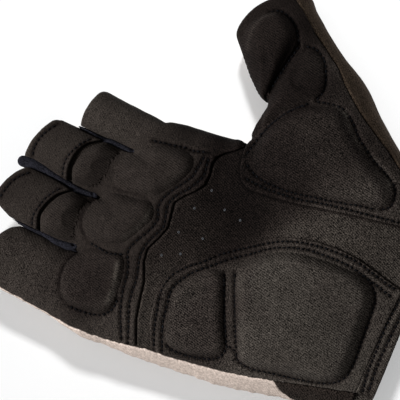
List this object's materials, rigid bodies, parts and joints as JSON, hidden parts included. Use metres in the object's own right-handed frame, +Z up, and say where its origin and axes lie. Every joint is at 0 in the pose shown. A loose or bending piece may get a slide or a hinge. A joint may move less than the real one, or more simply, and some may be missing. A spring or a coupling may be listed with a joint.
{
  "type": "padded half-finger cycling glove",
  "caption": "Right-hand half-finger cycling glove with a padded palm, lying on its back with the palm up.",
  "frame": {"origin": "on the surface that the glove's back rests on, under the middle of the palm", "axes": "+Z up out of the palm, +Y towards the fingertips, +X towards the thumb"},
  "size_m": [0.1567, 0.1706, 0.034],
  "materials": {
    "palm_fabric": "matte",
    "panel_suede": "matte",
    "pad_suede": "matte",
    "back_knit": "matte",
    "brown_fabric": "matte",
    "wrist_knit": "matte",
    "navy_trim": "satin"
  },
  "bodies": {
    "root": {"palm_base": "palm_fabric", "back_panel": "back_knit", "thumb_back": "brown_fabric", "wrist_back": "wrist_knit", "cuff_hem": "palm_fabric", "web_index_middle": "navy_trim", "web_middle_ring": "navy_trim", "web_ring_little": "navy_trim", "knuckle_panel": "panel_suede", "heel_panel": "panel_suede", "thumb_panel": "panel_suede", "middle_pull_loop": "panel_suede", "ring_pull_loop": "panel_suede", "heel_pad_large": "pad_suede", "heel_pad_small": "pad_suede", "knuckle_pad_index": "pad_suede", "knuckle_pad_ring": "pad_suede", "knuckle_pad_little": "pad_suede", "finger_pad_middle": "pad_suede", "finger_pad_ring": "pad_suede", "thenar_pad": "pad_suede", "thumb_pad_mid": "pad_suede", "thumb_pad_tip": "pad_suede"}
  },
  "joints": []
}
